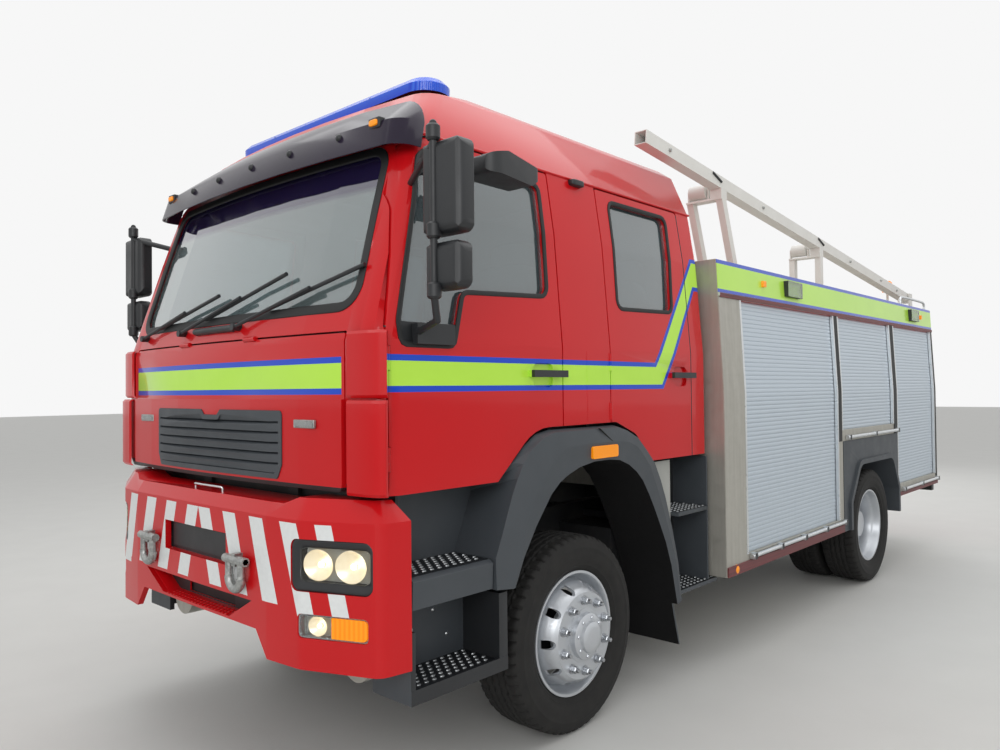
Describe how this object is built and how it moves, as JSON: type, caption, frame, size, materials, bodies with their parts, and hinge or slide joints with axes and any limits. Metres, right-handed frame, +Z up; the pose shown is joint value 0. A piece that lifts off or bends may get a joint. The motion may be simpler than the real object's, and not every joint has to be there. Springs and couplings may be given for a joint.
{
  "type": "crew-cab four-wheel-drive fire and rescue tender",
  "caption": "Crew-cab fire and rescue tender on a two-axle chassis, with hollow cab, opening doors, shuttered lockers, steering wheels and a sloping roof rail.",
  "frame": {"origin": "on the ground under the middle of the vehicle's own box, mirrors and tow fittings included", "axes": "+X forward, +Y to the vehicle's left, +Z up"},
  "size_m": [7.5199, 2.87, 3.1524],
  "materials": {
    "chassis_frame": "satin",
    "front_axle": "satin",
    "rear_axle": "satin",
    "leaf_springs": "satin",
    "driveline": "matt",
    "engine_block": "matt",
    "radiator": "matt",
    "tanks": "satin",
    "exhaust": "satin",
    "front_bumper": "gloss",
    "headlamps": "clear",
    "tow_shackles": "satin",
    "cab_shell": "gloss",
    "windscreen": "clear",
    "sun_visor": "smoked",
    "light_bar": "clear",
    "wipers": "matt",
    "dashboard": "matt",
    "steering_wheel": "matt",
    "crew_seats": "matt",
    "front_arches": "matt",
    "cab_steps": "satin",
    "front_flap": "gloss",
    "grille": "matt",
    "door_front_left": "gloss",
    "glass_front_left": "clear",
    "mirrors_left": "matt",
    "door_front_right": "gloss",
    "glass_front_right": "clear",
    "mirrors_right": "matt",
    "door_rear_left": "gloss",
    "glass_rear_left": "clear",
    "door_rear_right": "gloss",
    "glass_rear_right": "clear",
    "body_shell": "gloss",
    "water_tank": "matt",
    "shutters": "satin",
    "shutter_rear": "satin",
    "shutter_bars": "matt",
    "rear_arches": "matt",
    "body_sills": "satin",
    "body_lamps": "clear",
    "rear_step": "satin",
    "rear_ladder": "satin",
    "roof_rail": "satin",
    "rail_supports": "satin",
    "knuckle_left": "satin",
    "wheel_front_left": "satin",
    "tyre_front_left": "matt",
    "knuckle_right": "satin",
    "wheel_front_right": "satin",
    "tyre_front_right": "matt",
    "wheels_rear_left": "satin",
    "tyres_rear_left": "matt",
    "wheels_rear_right": "satin",
    "tyres_rear_right": "matt"
  },
  "bodies": {
    "truck": {"chassis_frame": "chassis_frame", "front_axle": "front_axle", "rear_axle": "rear_axle", "leaf_springs": "leaf_springs", "driveline": "driveline", "engine_block": "engine_block", "radiator": "radiator", "tanks": "tanks", "exhaust": "exhaust", "front_bumper": "front_bumper", "headlamps": "headlamps", "tow_shackles": "tow_shackles", "cab_shell": "cab_shell", "windscreen": "windscreen", "sun_visor": "sun_visor", "light_bar": "light_bar", "wipers": "wipers", "dashboard": "dashboard", "steering_wheel": "steering_wheel", "crew_seats": "crew_seats", "front_arches": "front_arches", "cab_steps": "cab_steps", "body_shell": "body_shell", "water_tank": "water_tank", "shutters": "shutters", "shutter_rear": "shutter_rear", "shutter_bars": "shutter_bars", "rear_arches": "rear_arches", "body_sills": "body_sills", "body_lamps": "body_lamps", "rear_step": "rear_step", "rear_ladder": "rear_ladder", "rail_supports": "rail_supports"},
    "door_front_left_body": {"door_front_left": "door_front_left", "glass_front_left": "glass_front_left", "mirrors_left": "mirrors_left"},
    "door_front_right_body": {"door_front_right": "door_front_right", "glass_front_right": "glass_front_right", "mirrors_right": "mirrors_right"},
    "door_rear_left_body": {"door_rear_left": "door_rear_left", "glass_rear_left": "glass_rear_left"},
    "door_rear_right_body": {"door_rear_right": "door_rear_right", "glass_rear_right": "glass_rear_right"},
    "front_flap_body": {"front_flap": "front_flap", "grille": "grille"},
    "roof_rail_body": {"roof_rail": "roof_rail"},
    "knuckle_left_body": {"knuckle_left": "knuckle_left"},
    "knuckle_right_body": {"knuckle_right": "knuckle_right"},
    "front_wheel_left_body": {"wheel_front_left": "wheel_front_left", "tyre_front_left": "tyre_front_left"},
    "front_wheel_right_body": {"wheel_front_right": "wheel_front_right", "tyre_front_right": "tyre_front_right"},
    "rear_wheels_left_body": {"wheels_rear_left": "wheels_rear_left", "tyres_rear_left": "tyres_rear_left"},
    "rear_wheels_right_body": {"wheels_rear_right": "wheels_rear_right", "tyres_rear_right": "tyres_rear_right"}
  },
  "joints": [
    {"name": "steer_left", "type": "hinge", "parent": "truck", "child": "knuckle_left_body", "pos_m": [2.32, 0.9, 0.472], "axis": [0, 0, 1], "range_deg": [-32, 32]},
    {"name": "steer_right", "type": "hinge", "parent": "truck", "child": "knuckle_right_body", "pos_m": [2.32, -0.9, 0.472], "axis": [0, 0, 1], "range_deg": [-32, 32]},
    {"name": "front_left_spin", "type": "hinge", "parent": "knuckle_left_body", "child": "front_wheel_left_body", "pos_m": [2.32, 0.958, 0.472], "axis": [0, 1, 0], "continuous": true},
    {"name": "front_right_spin", "type": "hinge", "parent": "knuckle_right_body", "child": "front_wheel_right_body", "pos_m": [2.32, -0.958, 0.472], "axis": [0, 1, 0], "continuous": true},
    {"name": "rear_left_spin", "type": "hinge", "parent": "truck", "child": "rear_wheels_left_body", "pos_m": [-1.68, 0.903, 0.472], "axis": [0, 1, 0], "continuous": true},
    {"name": "rear_right_spin", "type": "hinge", "parent": "truck", "child": "rear_wheels_right_body", "pos_m": [-1.68, -0.903, 0.472], "axis": [0, 1, 0], "continuous": true},
    {"name": "door_front_left_hinge", "type": "hinge", "parent": "truck", "child": "door_front_left_body", "pos_m": [3.506, 1.108, 1.9], "axis": [0, 0, -1], "range_deg": [0, 70]},
    {"name": "door_front_right_hinge", "type": "hinge", "parent": "truck", "child": "door_front_right_body", "pos_m": [3.506, -1.108, 1.9], "axis": [0, 0, 1], "range_deg": [0, 70]},
    {"name": "door_rear_left_hinge", "type": "hinge", "parent": "truck", "child": "door_rear_left_body", "pos_m": [2.066, 1.118, 1.9], "axis": [0, 0, -1], "range_deg": [0, 70]},
    {"name": "door_rear_right_hinge", "type": "hinge", "parent": "truck", "child": "door_rear_right_body", "pos_m": [2.066, -1.118, 1.9], "axis": [0, 0, 1], "range_deg": [0, 70]},
    {"name": "front_flap_hinge", "type": "hinge", "parent": "truck", "child": "front_flap_body", "pos_m": [3.606, 0, 1.886], "axis": [0, -1, 0], "range_deg": [0, 75]},
    {"name": "roof_rail_hinge", "type": "hinge", "parent": "truck", "child": "roof_rail_body", "pos_m": [-3.67, 0.945, 2.575], "axis": [0, -1, 0], "range_deg": [0, 55]}
  ],
  "couplings": [
    {"joint": "steer_right", "follows": "steer_left", "ratio": 1}
  ]
}
